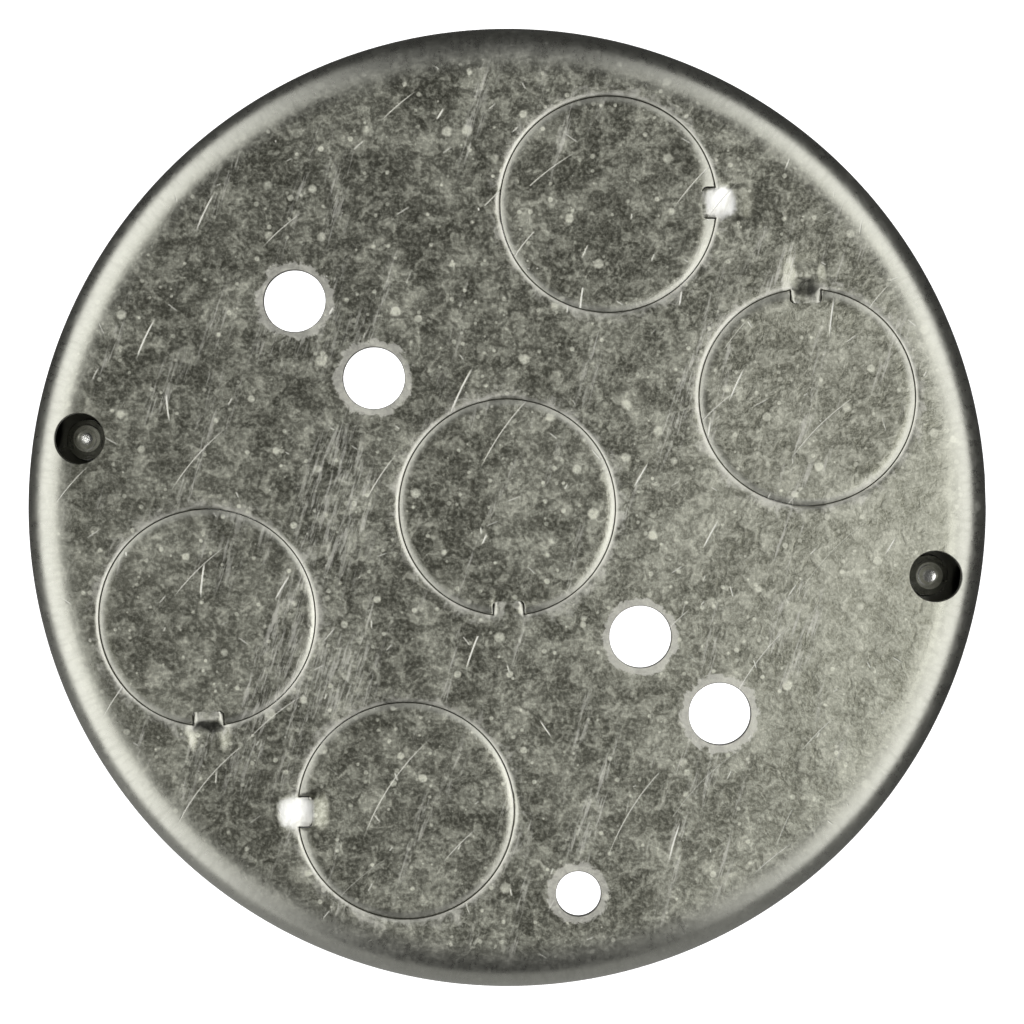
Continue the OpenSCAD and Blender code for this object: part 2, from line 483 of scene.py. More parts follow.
def build_pan():
    openings, sheared = [], []
    for node in KNOCKOUTS:
        centre, out = knockout_place(node)
        reach = LIP_R - (OPENING_R - TONGUE_L)
        openings.append(opening_edge(centre, out, LIP_R, TONGUE_HALF_W, reach))
        near_r = DISC_R + SHEAR_GAP
        reach = near_r - (OPENING_R - TONGUE_L - TIP_GAP + SHEAR_GAP)
        sheared.append(opening_edge(centre, out, near_r, TONGUE_HALF_W + SLIT - SHEAR_GAP, reach))
    holes = []
    for name in ("mounting_holes_inner", "mounting_holes_outer"):
        r = mounts[name]["dims"]["pcd_mm"] / 2
        for sign in (1, -1):
            spot = np.array([math.cos(HOLE_LINE), math.sin(HOLE_LINE)]) * r * sign
            holes.append(spot + ring(84, HOLE_R))
    small = np.array(mounts["small_screw_hole"]["pos_m"][:2]) / MM
    holes.append(small + ring(72, SMALL_HOLE_R))
    wells = []
    for node in SCREWS:
        angle, r = screw_place(node)
        edge = ring(84, WELL_R)
        if node == "fixture_screw_right":
            # the punch has dragged this one towards the rim
            edge[:, 0] *= np.where(edge[:, 0] > 0, 1.10, 1.0)
        x = r + edge[:, 0]
        y = edge[:, 1]
        wells.append(from_plan(x * math.cos(angle) - y * math.sin(angle),
                               x * math.sin(angle) + y * math.cos(angle)))
    taps = [from_ear(a, *(np.array([SCREW_CIRCLE_R, 0]) + ring(60, EAR_HOLE_R)).T)
            for a in EAR_ANGLES]
    outline = outer_edge()

    fill = [hex_grid(S_BEND - 0.5, 0.85)]
    for s in np.arange(S_BEND, S_WALL + 0.3, 0.42):
        fill.append(ring(420, s, 0.001 * s))
    for s in np.arange(S_WALL + 0.9, S_RIM, 0.95):
        fill.append(ring(300, s, 0.002 * s))
    for ear in EAR_ANGLES:
        for s in np.arange(S_FOLD - 0.3, S_EAR + PAN_R, 0.42):
            off = np.linspace(-EAR_HALF_ANGLE, EAR_HALF_ANGLE, 22)[1:-1]
            fill.append(np.column_stack([s * np.cos(ear + off), s * np.sin(ear + off)]))
    for node in KNOCKOUTS:
        centre, out = knockout_place(node)
        side = np.array([-out[1], out[0]])
        for u in np.arange(0.25, 3.0, 0.28):
            v = np.arange(-3.2, 3.3, 0.28)[:, None]
            fill.append(centre + out * (OPENING_R + u) + side * v)
        for u in np.arange(-1.4, 0.2, 0.22):
            v = np.arange(-1.2, 1.3, 0.24)[:, None]
            fill.append(centre + out * (OPENING_R + u) + side * v)
    fill = thinned(np.vstack(fill), 0.24)

    points, faces = triangulate(outline, [*openings, *holes, *wells, *taps], fill)
    outer, normal = sheet_surface(points)
    s = np.hypot(*points.T)
    groove = np.min([edge_distance(points, e, TONGUE_END) for e in openings], axis=0)
    sheared_off = np.min([edge_distance(points, e) for e in openings], axis=0)
    well = np.min([edge_distance(points, e) for e in wells], axis=0)
    punched = np.min([edge_distance(points, e) for e in holes], axis=0)
    tapped = np.min([edge_distance(points, e) for e in taps], axis=0)
    hole = np.minimum(np.minimum(punched, tapped), well)
    rim = edge_distance_outline(points, outline)
    tip, painted_pressing_light, on_tongue = np.zeros((3, len(points)))
    for node in KNOCKOUTS:
        centre, out = knockout_place(node)
        u, v = (points - centre) @ out, (points - centre) @ np.array([-out[1], out[0]])
        tip += tip_share(u, v)
        painted_pressing_light += painted_light_share(node, u, v)
        on_tongue += (np.abs(v) < TONGUE_HALF_W + 0.01) * smoothstep(0.5, 0.0, np.hypot(u, v) - LIP_R)
    on_tongue *= groove < 3
    on_ear = np.abs(nearest_ear(np.arctan2(points[:, 1], points[:, 0]))[1]) < EAR_HALF_ANGLE + 0.02
    dip = shoulder(groove, PAN_DIP, PAN_REACH) * (1 - on_tongue)
    dip += shoulder(groove, TONGUE_DIP, TONGUE_REACH) * on_tongue
    drop = (dip + rolled(groove, PAN_ROLL)) * (1 - tip)
    drop += rolled(hole, HOLE_ROLL) + rolled(rim, RIM_ROLL)
    pressed = troughs(points)
    press = waves(points) * (1 - smoothstep(S_BEND - 6, S_BEND, s))
    rear = rolled(np.minimum(np.minimum(sheared_off, hole), rim), 0.1)
    top = outer - normal * np.maximum(drop + pressed + press, 0.004)[:, None]
    # a well is punched straight down, whatever the slope of the bend
    upright = (1 - smoothstep(0.1, 1.6, well))[:, None] * np.array([0, 0, 1])
    inwards = upright + normal * (1 - upright[:, 2:])
    inwards /= np.maximum((inwards * normal).sum(1), 0.4)[:, None]
    bottom = outer - inwards * (SHEET + press - rear)[:, None]
    # the wall of each opening leans in towards its knockout
    for top_edge, low_edge in zip(openings, sheared):
        for here, there in zip(top_edge, low_edge):
            bottom[np.hypot(*(points - here).T).argmin(), :2] = there
    cut = np.minimum(np.minimum(2.5 * groove, hole), rim)
    values = {
        "groove_mm": np.minimum(groove, 9), "hole_mm": np.minimum(punched, 9),
        "band_mm": np.minimum(1.7 * groove, 9),
        "cut_mm": np.minimum(cut, 9), "drawn": smoothstep(S_BEND - 1.0, S_BEND + 2.5, s),
        # "pressed" holds painted highlight and painted shade at the pressings; "inner" rises to 2 where painted
        # shade lies on the ears
        "pressed": painted_pressing_light, "inner": 1 + smoothstep(S_FOLD - 2, S_FOLD, s) * on_ear,
    }
    return sheet_object("pan_sheet", faces, top, bottom, values)


def edge_distance_outline(points, outline):
    """Distance from the layout's outline, for points near it."""
    found = np.full(len(points), 9.0)
    near = np.hypot(*points.T) > S_FOLD - 3
    a, b = outline, np.roll(outline, -1, axis=0)
    d = b - a
    where = np.nonzero(near)[0]
    for part in np.array_split(where, max(1, len(where) // 1500)):
        p = points[part][:, None, :]
        t = np.clip(((p - a) * d).sum(2) / np.maximum((d * d).sum(1), 1e-12), 0, 1)
        gap = p - (a + t[..., None] * d)
        found[part] = np.sqrt((gap * gap).sum(2).min(1))
    return found


def build_knockout(node):
    *_, sag, tilt_along, tilt_across, bowed = SETTING[node]
    centre, out = knockout_place(node)
    side = np.array([-out[1], out[0]])
    here = np.zeros(2)
    reach = TONGUE_L - (OPENING_R - DISC_R) + TIP_GAP
    edge = opening_edge(here, np.array([1.0, 0.0]), DISC_R, TONGUE_HALF_W + SLIT, reach)
    fill = [hex_grid(DISC_R, 0.62)]
    for x in np.arange(6.5, 11.0, 0.26):
        fill.append(np.column_stack([np.full(25, x), np.linspace(-3.4, 3.4, 25)]))
    points, faces = triangulate(edge, [], thinned(np.vstack(fill), 0.22))
    groove = edge_distance(points, edge, TONGUE_END)
    cut = edge_distance(points, edge)
    u, v = points.T
    tip_x = DISC_R - reach
    # the knockout is bowed down on both sides of its tongue
    beside_tongue = np.exp(-((u - DISC_R) / 3.2) ** 2 - (v / 4.6) ** 2)
    bow = bowed * beside_tongue
    arc = np.maximum(DISC_R - np.hypot(u, v), 0)
    drop = shoulder(arc, DISC_DIP * (1 + bow), DISC_REACH * (1 + 1.4 * bow))
    drop = (drop + rolled(groove, DISC_ROLL)) * (1 - tip_share(u, v))
    dome = sag * (1 - (np.hypot(u, v) / DISC_R) ** 2)
    tilt = (np.tan(math.radians(tilt_along)) * (u - tip_x)
            + np.tan(math.radians(tilt_across)) * v)
    settle = np.abs(np.tan(math.radians(tilt_along)) * 2 * DISC_R)
    settle = settle * 0.5 + abs(math.tan(math.radians(tilt_across))) * DISC_R * 0.5
    plan = centre + u[:, None] * out + v[:, None] * side
    press = dome * smoothstep(0, 3, tip_x - u) + waves(plan)
    press += np.clip(settle + tilt * 0.5, 0, None) * smoothstep(0, 4, tip_x - u) + 0.01
    top = np.column_stack([plan, -np.maximum(drop + press + trough(node, u, v), 0.004)])
    bottom = np.column_stack([plan, -(SHEET + press - rolled(cut, 0.1))])
    far = np.full(len(points), 9.0)
    values = {
        "groove_mm": far, "hole_mm": far, "band_mm": arc / (1 + 1.4 * bow),
        "cut_mm": 2.5 * groove, "drawn": far * 0,
        # "pressed" holds painted highlight and painted shade at the pressing
        "pressed": painted_light_share(node, u, v), "inner": far * 0 + 1,
    }
    return sheet_object(node + "_disc", faces, top, bottom, values)


# ---------------------------------------------------------------- fixture screws

def revolve_rows(rows, count):
    """A closed mesh from rows of (radius, z) that may depend on the angle."""
    angles = np.linspace(0, 2 * math.pi, count, endpoint=False)
    points = [(r(a) * math.cos(a), r(a) * math.sin(a), z) for r, z in rows for a in angles]
    faces = []
    for k in range(len(rows) - 1):
        for i in range(count):
            j = (i + 1) % count
            faces.append((k * count + i, k * count + j, (k + 1) * count + j, (k + 1) * count + i))
    faces.append(tuple(range(count))[::-1])
    top = (len(rows) - 1) * count
    faces.append(tuple(range(top, top + count)))
    return points, faces


# The crowned end of a screw: radius, and how far that ring lies below the tip
END_ROWS = ((1.15, 0.34), (1.06, 0.18), (0.92, 0.06), (0.6, 0.02), (0.35, 0.005), (0.15, 0))
# How far each screw's end leans, and which way, in degrees
END_LEAN = {"fixture_screw_left": (6.3, -133), "fixture_screw_right": (5.5, 155)}


def build_screw(node):
    """A machine screw, tip up: a real thread, and a slotted pan head with a cross recess."""
    angle, r = screw_place(node)
    low, high = box_mm(node)
    tip_z, head_z = high[2], low[2]
    head_r = (high[0] - low[0]) / 2 - 0.02
    # the seat stops just short of the ear when the screw is driven home
    seat_z = head_z + HEAD_H - 0.07
    root_r = SCREW_R - 0.47
    count = 40
    rows = []

    def fixed(value):
        return lambda a: value

    # the head, from its crown up to its seat
    crown = 8
    corner = 0.25
    for k in range(1, crown + 1):
        t = k / crown
        rise = 0.95 * (1 - math.sqrt(1 - (0.93 * t) ** 2))
        rows.append((fixed((head_r - corner) * t), head_z + rise))
    base_z = rows[-1][1]
    for k in range(1, 4):
        t = k / 3 * math.pi / 2
        rise = 0.3 * (1 - math.cos(t))
        rows.append((fixed(head_r - corner + corner * math.sin(t)), base_z + rise))
    rows.append((fixed(head_r), seat_z - 0.12))
    rows.append((fixed(head_r - 0.12), seat_z))
    rows.append((fixed(SCREW_R - 0.1), seat_z))
    # the thread
    start_z = seat_z + 0.5
    chamfer = 0.95
    steps = 8

    def thread(z):
        def radius(a):
            phase = ((z - start_z) / THREAD_PITCH - a / (2 * math.pi)) % 1.0
            ridge = 1 - abs(2 * phase - 1)
            form = root_r + (SCREW_R - root_r) * min(1.0, max(0.0, (ridge - 0.14) / 0.72))
            fade = min(1.0, max(0.0, (z - start_z) / 0.6))
            below = tip_z - 0.34 - z
            limit = SCREW_R
            if below < chamfer:
                limit = END_R + max(0.0, below) / chamfer * (SCREW_R - END_R)
            return min(limit, (SCREW_R - 0.1) * (1 - fade) + form * fade)
        return radius

    rows.append((fixed(SCREW_R - 0.1), start_z))
    z = start_z + THREAD_PITCH / steps
    while z < tip_z - 0.36:
        rows.append((thread(z), z))
        z += THREAD_PITCH / steps
    # the crowned end, with the small flat that cutting off leaves
    for r_end, drop in END_ROWS:
        rows.append((fixed(r_end), tip_z - drop))
    points, faces = revolve_rows(rows, count)
    # the end was cut off a little askew
    lean, towards = END_LEAN[node]
    slope = math.tan(math.radians(lean))
    across = (math.cos(math.radians(towards)), math.sin(math.radians(towards)))
    points = [(x, y, z - slope * (x * across[0] + y * across[1] + END_ROWS[0][0])
               * min(1.0, max(0.0, (z - tip_z + 1.3) / 0.95))) for x, y, z in points]
    place = np.array([r * math.cos(angle), r * math.sin(angle), 0])
    mesh = bpy.data.meshes.new(node)
    mesh.from_pydata(((np.array(points) + place) * MM).tolist(), [], faces)
    piece = bpy.data.objects.new(node + "_threaded", mesh)
    bpy.context.scene.collection.objects.link(piece)
    for width, length, depth, turned in ((1.1, 9.4, 1.45, 0.3), (1.0, 4.2, 1.7, 0.3 + math.pi / 2)):
        cut(piece, place + np.array([0, 0, head_z]), width, length, depth, turned + angle)
    mesh = piece.data
    mesh.shade_smooth()
    mesh.set_sharp_from_angle(angle=math.radians(38))
    return piece


def cut(piece, at, width, length, depth, turned):
    """Cuts a straight slot, a little narrower at its floor, up into a screw's head."""
    half_l, half_w, narrow = length / 2, width / 2, width / 2 - 0.08
    corners = []
    for z, w in ((-1.0, half_w + 0.05), (depth, narrow)):
        for x, y in ((-half_l, -w), (half_l, -w), (half_l, w), (-half_l, w)):
            corners.append((x * math.cos(turned) - y * math.sin(turned) + at[0],
                            x * math.sin(turned) + y * math.cos(turned) + at[1], z + at[2]))
    faces = [(3, 2, 1, 0), (4, 5, 6, 7), (0, 1, 5, 4), (1, 2, 6, 5), (2, 3, 7, 6), (3, 0, 4, 7)]
    mesh = bpy.data.meshes.new("slot")
    mesh.from_pydata((np.array(corners) * MM).tolist(), [], faces)
    tool = bpy.data.objects.new("slot", mesh)
    bpy.context.scene.collection.objects.link(tool)
    change = piece.modifiers.new("slot", "BOOLEAN")
    change.operation, change.solver, change.object = "DIFFERENCE", "EXACT", tool
    graph = bpy.context.evaluated_depsgraph_get()
    result = bpy.data.meshes.new_from_object(piece.evaluated_get(graph))
    piece.modifiers.clear()
    piece.data = result
    bpy.data.objects.remove(tool)


# ---------------------------------------------------------------- materials

class Nodes:
    """A few short calls for building nodes."""

    def __init__(self, tree):
        self.tree = tree

    def put(self, socket, value):
        if isinstance(value, bpy.types.NodeSocket):
            self.tree.links.new(value, socket)
        else:
            socket.default_value = value

    def node(self, kind, **inputs):
        made = self.tree.nodes.new(kind)
        for key, value in inputs.items():
            self.put(made.inputs[key.replace("_", " ")], value)
        return made

    def math(self, operation, a, b=0.0, c=0.0, clamp=False):
        made = self.tree.nodes.new("ShaderNodeMath")
        made.operation, made.use_clamp = operation, clamp
        for socket, value in zip(made.inputs, (a, b, c)):
            self.put(socket, value)
        return made.outputs[0]

    def fade(self, value, low, high, to_low=0.0, to_high=1.0):
        """A smooth step of value from low to high."""
        made = self.tree.nodes.new("ShaderNodeMapRange")
        made.interpolation_type = "SMOOTHSTEP"
        made.clamp = True
        for key, number in (("Value", value), ("From Min", low), ("From Max", high),
                            ("To Min", to_low), ("To Max", to_high)):
            self.put(made.inputs[key], number)
        return made.outputs[0]

    def mix(self, factor, a, b):
        made = self.tree.nodes.new("ShaderNodeMix")
        made.data_type = "RGBA"
        self.put(made.inputs[0], factor)
        self.put(made.inputs[6], a)
        self.put(made.inputs[7], b)
        return made.outputs[2]

    def noise(self, vector, scale, detail=3.0, roughness=0.55, distortion=0.0):
        made = self.node("ShaderNodeTexNoise", Vector=vector, Scale=scale, Detail=detail,
                         Roughness=roughness, Distortion=distortion)
        return made.outputs["Fac"]

    def attribute(self, name):
        made = self.tree.nodes.new("ShaderNodeAttribute")
        made.attribute_name = name
        return made.outputs["Fac"]

    def millimetres(self, shift=(0.0, 0.0, 0.0)):
        coordinates = self.tree.nodes.new("ShaderNodeTexCoord").outputs["Object"]
        scaled = self.node("ShaderNodeMapping", Vector=coordinates, Scale=(1000, 1000, 1000),
                           Location=shift)
        return scaled.outputs[0]

    def moved(self, vector):
        """A vector as it is, or a (vector, distance) pair as the vector moved that far."""
        if not isinstance(vector, tuple):
            return vector
        moved = self.node("ShaderNodeMapping", Vector=vector[0],
                          Location=(17.3 * vector[1], 9.1 * vector[1], 0.0))
        return moved.outputs[0]

    def spots(self, vector, cell, size, share):
        """Scattered round spots, up to size across, in a share of the cells."""
        field = self.node("ShaderNodeTexVoronoi", Vector=self.moved(vector), Scale=1 / cell)
        chance = self.node("ShaderNodeSeparateColor", Color=field.outputs["Color"])
        reach = self.math("MULTIPLY_ADD", chance.outputs[1], size / cell * 0.7, size / cell * 0.3)
        nearness = self.math("DIVIDE", field.outputs["Distance"], reach)
        here = self.math("GREATER_THAN", chance.outputs[0], 1 - share)
        return self.math("MULTIPLY", self.fade(nearness, 0.55, 1.0, 1.0, 0.0), here)

    def strokes(self, vector, cell, width, length, angles, share):
        """Scattered straight scratches: one in a share of the cells, at an angle between two."""
        vector = self.moved(vector)
        field = self.node("ShaderNodeTexVoronoi", Vector=vector, Scale=1 / cell)
        field.voronoi_dimensions = "2D"
        chance = self.node("ShaderNodeSeparateColor", Color=field.outputs["Color"])
        local = self.tree.nodes.new("ShaderNodeVectorMath")
        local.operation = "SUBTRACT"
        self.put(local.inputs[0], vector)
        self.put(local.inputs[1], field.outputs["Position"])
        angle = self.fade(chance.outputs[0], 0.0, 1.0, *[math.radians(a) for a in angles])
        turned = self.tree.nodes.new("ShaderNodeVectorRotate")
        turned.rotation_type = "Z_AXIS"
        self.put(turned.inputs["Vector"], local.outputs[0])
        self.put(turned.inputs["Angle"], self.math("MULTIPLY", angle, -1.0))
        parts = self.node("ShaderNodeSeparateXYZ", Vector=turned.outputs[0])
        along, across = parts.outputs[0], parts.outputs[1]
        bow = self.math("MULTIPLY", self.math("MULTIPLY", along, along), 0.02)
        across = self.math("ABSOLUTE", self.math("ADD", across, bow))
        half = self.math("MULTIPLY", chance.outputs[1], length / 2)
        line = self.fade(across, 0.0, width, 1.0, 0.0)
        ends = self.fade(self.math("DIVIDE", self.math("ABSOLUTE", along), half), 0.4, 1.0, 1.0, 0.0)
        here = self.fade(chance.outputs[2], 1 - share, 1 - share + 0.05)
        return self.math("MULTIPLY", self.math("MULTIPLY", line, ends), here)


class Shader(Nodes):
    """The nodes of a new material."""

    def __init__(self, name):
        self.material = bpy.data.materials.new(name)
        self.material.use_nodes = True
        super().__init__(self.material.node_tree)
        self.surface = self.tree.nodes["Principled BSDF"]


# Colours of the zinc: its smooth skin, its bloom, and the drawn bend and wall
SKIN, BLOOM, EVEN = (0.205, 0.205, 0.16, 1), (0.77, 0.77, 0.65, 1), (0.70, 0.70, 0.64, 1)
DRAWING_MARK, WALL_DARKENING = (0.30, 0.30, 0.25, 1), (0.17, 0.17, 0.14, 1)
# The first colour below is a painted highlight on two pressed pads
PAINTED_PAD_HIGHLIGHT, WORN, SCRATCHED = (0.96, 0.96, 0.92, 1), (0.76, 0.75, 0.68, 1), (0.93, 0.93, 0.87, 1)
# The first colour below is painted shade, for two creases and for the ears deep in the wells
# The second colour below is the dark of bare cut edges, and also painted shade on the screws' threads
PAINTED_SHADE, CUT_EDGE_AND_THREAD_SHADE, DULL = (0.035, 0.035, 0.03, 1), (0.07, 0.07, 0.06, 1), (0.16, 0.16, 0.14, 1)
# How deep the bump of each metal is, in metres
ZINC_BUMP, SCREW_BUMP = 0.00008, 0.00001
# Places on the pan that are scuffed all over: centre, and half of the length across and along
SCUFFS = ((-17.5, 0.5, 5.5, 11.0), (-16.5, -17.5, 3.5, 6.0), (-22.0, 18.0, 4.0, 7.0))


def galvanized(name, shift, scuffs=()):
    """Old hot-dip zinc on steel: a smooth dark skin with rougher, paler bloom, rubs and scratches, with painted
    highlight and painted shade at some pressings and on the ears.
    """
    m = Shader(name)
    at = m.millimetres(shift)
    drawn = m.attribute("drawn")
    groove, hole = m.attribute("groove_mm"), m.attribute("hole_mm")
    band, pressed = m.attribute("band_mm"), m.attribute("pressed")

    # the painted highlight and painted shade of the pressings have soft, uneven edges
    ragged = m.noise(at, 0.55, 5.0, 0.68, 1.0)
    # the first mask is painted shade in the creases, the second painted highlight on the pads
    crease_shade = m.fade(m.math("MULTIPLY_ADD", ragged, -0.9, pressed), -0.70, -1.25)
    pressed = m.fade(m.math("MULTIPLY_ADD", ragged, 0.9, pressed), 0.60, 1.15)

    # bloom: cloudy at three sizes, with round pale spots in it
    clouds = m.noise(at, 0.16, 3.0, 0.55, 0.6)
    patches = m.noise(at, 0.60, 4.0, 0.60, 0.7)
    grain = m.noise(at, 2.3, 4.0, 0.70, 0.2)
    spots = m.spots(at, 2.6, 0.75, 0.50)
    specks = m.spots((at, 5.0), 1.1, 0.34, 0.5)
    bloom = m.math("MULTIPLY_ADD", m.fade(patches, 0.42, 0.66), 0.31,
                   m.math("MULTIPLY", m.fade(grain, 0.40, 0.70), 0.36))
    bloom = m.math("MULTIPLY_ADD", m.fade(clouds, 0.40, 0.66), 0.20, bloom)
    bloom = m.math("MULTIPLY_ADD", spots, 0.54, bloom)
    bloom = m.math("MULTIPLY_ADD", specks, 0.45, bloom)
    # the drawn bend and wall, the band that rolls down to a groove, and the pads under the painted highlight are
    # smoother and even
    band = m.fade(band, 0.20, 0.90, 0.42, 0.0)
    even = m.math("MAXIMUM", m.math("MULTIPLY", drawn, 0.56),
                  m.math("MAXIMUM", band, m.math("MULTIPLY", pressed, 0.8)))
    bloom = m.math("MULTIPLY_ADD", m.math("SUBTRACT", 0.30, bloom), even, bloom)

    # drawing marks run out over the bend and down the wall
    x, y, z = m.node("ShaderNodeSeparateXYZ", Vector=at).outputs
    around = m.math("MULTIPLY", m.math("ARCTAN2", y, x), PAN_R)
    radius = m.math("POWER", m.math("MULTIPLY_ADD", x, x, m.math("MULTIPLY", y, y)), 0.5)
    down = m.math("SUBTRACT", radius, z)
    unrolled = m.node("ShaderNodeCombineXYZ", X=around, Y=m.math("MULTIPLY", down, 0.16))
    marks = m.fade(m.noise(unrolled.outputs[0], 1.7, 3.0, 0.60), 0.30, 0.70, -0.5, 0.5)
    marks = m.math("MULTIPLY", marks, drawn)

    # worn brighter outside the grooves and round the holes, with ragged edges
    worn_groove = m.fade(m.math("MULTIPLY_ADD", ragged, -7.0, groove), -4.0, -2.2, 1.0, 0.0)
    worn_hole = m.fade(m.math("MULTIPLY_ADD", ragged, -2.6, hole), -0.62, -0.36, 1.0, 0.0)
    worn = m.math("MAXIMUM", m.math("MULTIPLY", worn_groove, 0.85), worn_hole)
    # rubs of fine streaks, in drifts and in the scuffed places, steeper than the long scratches
    leant = m.node("ShaderNodeMapping", Vector=at, Rotation=(0.0, 0.0, math.radians(-72.0)))
    drawn_out = m.node("ShaderNodeMapping", Vector=leant.outputs[0], Scale=(0.13, 1.0, 1.0))
    streaks = m.noise(drawn_out.outputs[0], 2.4, 4.0, 0.72, 0.2)
    drift = m.noise(drawn_out.outputs[0], 0.22, 2.0, 0.5, 1.5)
    scuffed = m.fade(drift, 0.555, 0.66)
    for scuff_x, scuff_y, half_w, half_l in scuffs:
        off_x = m.math("DIVIDE", m.math("SUBTRACT", x, scuff_x), half_w)
        off_y = m.math("DIVIDE", m.math("SUBTRACT", y, scuff_y), half_l)
        off = m.math("MULTIPLY_ADD", off_x, off_x, m.math("MULTIPLY", off_y, off_y))
        off = m.math("MULTIPLY_ADD", drift, -2.4, m.math("ADD", off, 1.2))
        scuffed = m.math("MAXIMUM", scuffed, m.fade(off, 0.3, 1.1, 1.0, 0.0))
    rubbed = m.math("MULTIPLY", m.fade(streaks, 0.47, 0.62), scuffed)
    worn = m.math("MAXIMUM", worn, m.math("MULTIPLY", rubbed, 0.85))
    worn = m.math("MULTIPLY", worn, m.fade(drawn, 0.0, 0.6, 1.0, 0.2))

    steep = m.strokes(at, 6.5, 0.11, 7.0, (58, 84), 0.15)
    leaning = m.strokes((at, 9.0), 8.0, 0.10, 6.0, (94, 124), 0.12)
    slanting = m.strokes((at, 3.0), 13.0, 0.08, 19.0, (38, 56), 0.45)
    short = m.strokes((at, 7.0), 2.3, 0.11, 2.0, (20, 150), 0.12)
    bold = m.math("MAXIMUM", steep, m.math("MULTIPLY", leaning, 0.9))
    faint = m.math("MAXIMUM", m.math("MULTIPLY", slanting, 0.6), m.math("MULTIPLY", short, 0.6))
    scratches = m.math("MAXIMUM", bold, faint)
    # the pattern is flat, so it stops short of the upright wall
    scratch = m.math("MULTIPLY", scratches, m.fade(drawn, 0.3, 1.0, 1.0, 0.0))

    colour = m.mix(m.math("MULTIPLY", bloom, 1.0, clamp=True), SKIN, BLOOM)
    colour = m.mix(even, colour, EVEN)
    colour = m.mix(m.math("MULTIPLY", marks, 0.32, clamp=True), colour, DRAWING_MARK)
    # the colour darkens from the outer bend down the wall
    colour = m.mix(m.fade(z, -4.6, -2.4, 0.40, 0.0), colour, WALL_DARKENING)
    # painted highlight on two pressings
    colour = m.mix(m.math("MULTIPLY", pressed, 0.9), colour, PAINTED_PAD_HIGHLIGHT)
    colour = m.mix(m.math("MULTIPLY", worn, 0.65), colour, WORN)
    # painted shade in two creases
    colour = m.mix(m.math("MULTIPLY", crease_shade, 0.88), colour, PAINTED_SHADE)
    colour = m.mix(m.math("MULTIPLY", scratch, 0.75), colour, SCRATCHED)
    # cut edges are bare and dark, the inside is duller than the outside, and the ears down the wells take painted
    # shade
    bare = m.fade(m.attribute("cut_mm"), 0.03, 0.10, 0.72, 0.0)
    colour = m.mix(bare, colour, CUT_EDGE_AND_THREAD_SHADE)
    inner = m.attribute("inner")
    # ear: where the ears take painted shade
    ear = m.fade(inner, 1.2, 2.0)
    within = m.math("MULTIPLY", m.fade(inner, 0.0, 1.0), m.math("SUBTRACT", 1.0, ear))
    colour = m.mix(m.math("MULTIPLY", within, 0.35), colour, DULL)
    # painted shade on the ears, deep in the wells
    colour = m.mix(m.math("MULTIPLY", ear, 0.9), colour, PAINTED_SHADE)
    m.put(m.surface.inputs["Base Color"], colour)
    m.put(m.surface.inputs["Metallic"], m.math("MULTIPLY_ADD", within, -0.35, 1.0))
    rough = m.math("MULTIPLY_ADD", bloom, 0.27, 0.275)
    rough = m.math("MULTIPLY_ADD", worn, 0.12, rough)
    rough = m.math("MULTIPLY_ADD", drawn, -0.05, rough)
    rough = m.math("MULTIPLY_ADD", pressed, 0.08, rough)
    rough = m.math("MULTIPLY_ADD", marks, 0.07, rough)
    rough = m.math("MULTIPLY_ADD", scratch, 0.20, rough)
    m.put(m.surface.inputs["Roughness"], rough)
    height = m.math("MULTIPLY_ADD", patches, 0.6, m.math("MULTIPLY", grain, 0.28))
    height = m.math("MULTIPLY_ADD", spots, 0.12, height)
    height = m.math("MULTIPLY", height, m.math("MULTIPLY_ADD", even, -0.62, 1.0))
    height = m.math("MULTIPLY", height, m.math("MULTIPLY_ADD", drawn, -0.6, 1.0))
    height = m.math("MULTIPLY_ADD", scratch, -0.4, height)
    bump = m.node("ShaderNodeBump", Height=height, Strength=1.0, Distance=ZINC_BUMP)
    m.put(m.surface.inputs["Normal"], bump.outputs[0])
    return m.material


def zinc_screw(tip_z, seat_z):
    """Semi-bright zinc plate on a screw."""
    m = Shader("zinc_screw")
    at = m.millimetres()
    stain = m.noise(at, 0.9, 4.0, 0.6, 0.5)
    grain = m.noise(at, 5.0, 2.0)
    colour = m.mix(m.fade(stain, 0.35, 0.7), (0.66, 0.66, 0.62, 1), (0.94, 0.94, 0.90, 1))
    # painted shade darkens the thread, but not its cut end or the head
    height = m.node("ShaderNodeSeparateXYZ", Vector=at).outputs[2]
    thread = m.math("MULTIPLY", m.fade(height, tip_z - 0.72, tip_z - 0.62, 1.0, 0.0),
                    m.fade(height, seat_z, seat_z + 0.4))
    colour = m.mix(m.math("MULTIPLY", thread, 0.8), colour, CUT_EDGE_AND_THREAD_SHADE)
    m.put(m.surface.inputs["Base Color"], colour)
    m.put(m.surface.inputs["Metallic"], 1.0)
    rough = m.math("MULTIPLY_ADD", stain, -0.15, 0.33)
    m.put(m.surface.inputs["Roughness"],
          m.math("ADD", rough, m.fade(height, tip_z - 0.8, tip_z - 0.6, 0.0, -0.06)))
    bump = m.node("ShaderNodeBump", Height=grain, Strength=1.0, Distance=SCREW_BUMP)
    m.put(m.surface.inputs["Normal"], bump.outputs[0])
    return m.material


# ---------------------------------------------------------------- the pieces on their bodies

def keep(piece, node, slot, material):
    piece.data.materials.clear()
    piece.data.materials.append(material)
    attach(piece, node)
    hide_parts(node)


